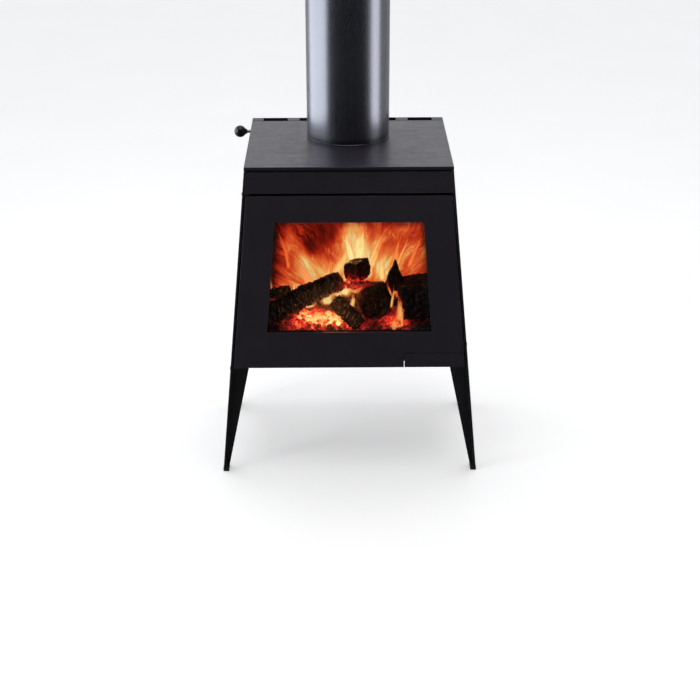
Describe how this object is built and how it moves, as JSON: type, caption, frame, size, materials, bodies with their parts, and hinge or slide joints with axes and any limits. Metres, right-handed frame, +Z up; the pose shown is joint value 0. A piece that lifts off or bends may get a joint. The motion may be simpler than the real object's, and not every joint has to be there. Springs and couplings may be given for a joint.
{
  "type": "wood burning stove",
  "caption": "Freestanding wood burning stove with leaning side plates on tapered legs, a windowed door with a flush lever, an air control rod and a cased flue.",
  "frame": {"origin": "on the floor, in the middle of the stove's width over the feet and of its whole depth", "axes": "+Z up along the flue, +X to the right of someone facing the door, the door faces -Y"},
  "size_m": [0.6298, 0.4274, 1.3125],
  "materials": {
    "stove_paint": "satin black high temperature stove paint",
    "flue_paint": "satin metallic grey high temperature paint",
    "stainless": "bare stainless, heat tinted",
    "bare_steel": "zinc plated or oiled steel",
    "firebrick": "matte firebrick, sooted",
    "vermiculite": "matte pressed vermiculite board",
    "black_knob": "gloss black phenolic",
    "ceramic_glass": "clear ceramic glass",
    "rope_fibre": "black glass fibre rope and tape",
    "charred_wood": "charred, glowing at the edges",
    "embers": "ash and glowing embers"
  },
  "bodies": {
    "root": {"top_plate": "stove_paint", "flue_pipe": "stainless", "flue_collar": "stove_paint", "flue_casing": "flue_paint", "flue_spacers": "stainless", "left_side_plate": "stove_paint", "right_side_plate": "stove_paint", "front_frame": "stove_paint", "rear_plate": "stove_paint", "foot_pads": "stove_paint", "firebox_floor": "stove_paint", "floor_bricks": "firebrick", "left_bricks": "firebrick", "right_bricks": "firebrick", "rear_bricks": "firebrick", "air_rails": "stainless", "secondary_air_tubes": "stainless", "baffle_plate": "vermiculite", "log_retainer": "stove_paint", "airwash_deflector": "stove_paint", "air_ducts": "stove_paint", "rear_air_box": "stove_paint", "fascia": "stove_paint", "fascia_brackets": "stove_paint", "slide_guides": "bare_steel", "rod_bush": "bare_steel", "rear_heat_shield": "stove_paint", "rear_shield_spacers": "bare_steel", "rear_shield_screws": "bare_steel", "bottom_heat_shield": "stove_paint", "bottom_shield_posts": "bare_steel", "hinge_brackets": "stove_paint", "hinge_pins": "bare_steel", "latch_keeper": "stove_paint", "log_front_left": "charred_wood", "log_crosswise": "charred_wood", "log_front_short": "charred_wood", "log_round": "charred_wood", "log_right": "charred_wood", "log_right_upper": "charred_wood", "log_rear_left": "charred_wood", "ember_bed": "embers"},
    "door": {"door_plate": "stove_paint", "glass_gasket": "rope_fibre", "door_glass": "ceramic_glass", "glass_studs": "bare_steel", "glass_clips": "stainless", "glass_nuts": "bare_steel", "rope_channel": "stove_paint", "door_rope_seal": "rope_fibre", "hinge_sleeves": "bare_steel", "handle_bearings": "bare_steel"},
    "handle": {"handle_bar": "stove_paint", "handle_shaft": "bare_steel", "latch_tongue": "bare_steel"},
    "air_control": {"air_slide_plate": "stainless", "control_rod": "bare_steel", "control_knob": "black_knob"}
  },
  "joints": [
    {"name": "door_hinge", "type": "hinge", "parent": "root", "child": "door", "pos_m": [-0.25507, -0.20465, 0.5], "axis": [-0.095, 0, -0.9955], "range_deg": [0, 95]},
    {"name": "handle_turn", "type": "hinge", "parent": "door", "child": "handle", "pos_m": [0.258, -0.19965, 0.3], "axis": [0, 0, 1], "range_deg": [0, 30]},
    {"name": "air_slide", "type": "slide", "parent": "root", "child": "air_control", "axis": [-1, 0, 0], "range_m": [0, 0.045]}
  ]
}
